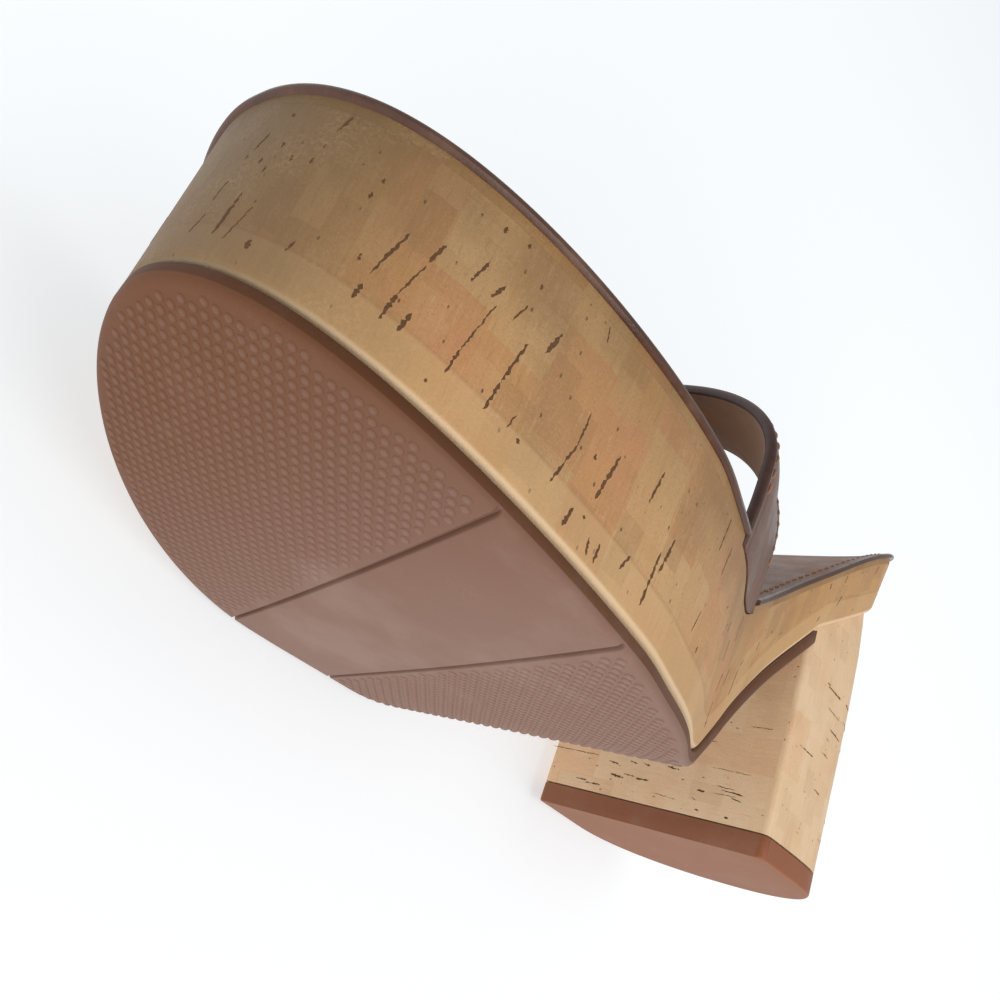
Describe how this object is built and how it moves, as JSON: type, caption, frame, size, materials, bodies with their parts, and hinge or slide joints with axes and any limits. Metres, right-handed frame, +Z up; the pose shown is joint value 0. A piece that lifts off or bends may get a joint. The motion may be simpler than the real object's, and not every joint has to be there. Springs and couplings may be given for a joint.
{
  "type": "platform sandal",
  "caption": "Slip-on platform sandal with a cork-wrapped platform and block heel, a nubbed rubber outsole and one wide leather band, lying on its outer side.",
  "frame": {"origin": "on the floor, under the middle of the shoe's box as it lies on its outer side", "axes": "+X along the floor from toe to heel, +Y from the tread to the footbed, +Z up from the floor, from the shoe's outer side to its inner side"},
  "size_m": [0.2166, 0.1028, 0.1023],
  "materials": {
    "sole_rubber": "matt moulded rubber with fine round nubs",
    "cork": "cork sheet in pieced tiles with dark streaks, lightly sealed",
    "lift_rubber": "satin moulded rubber",
    "footbed_leather": "smooth leather with a bound rim",
    "band_leather": "smooth grained leather with painted edges"
  },
  "bodies": {
    "root": {"outsole": "sole_rubber", "platform": "cork", "heel_block": "cork", "heel_lift": "lift_rubber", "footbed": "footbed_leather", "vamp_band": "band_leather"}
  },
  "joints": []
}
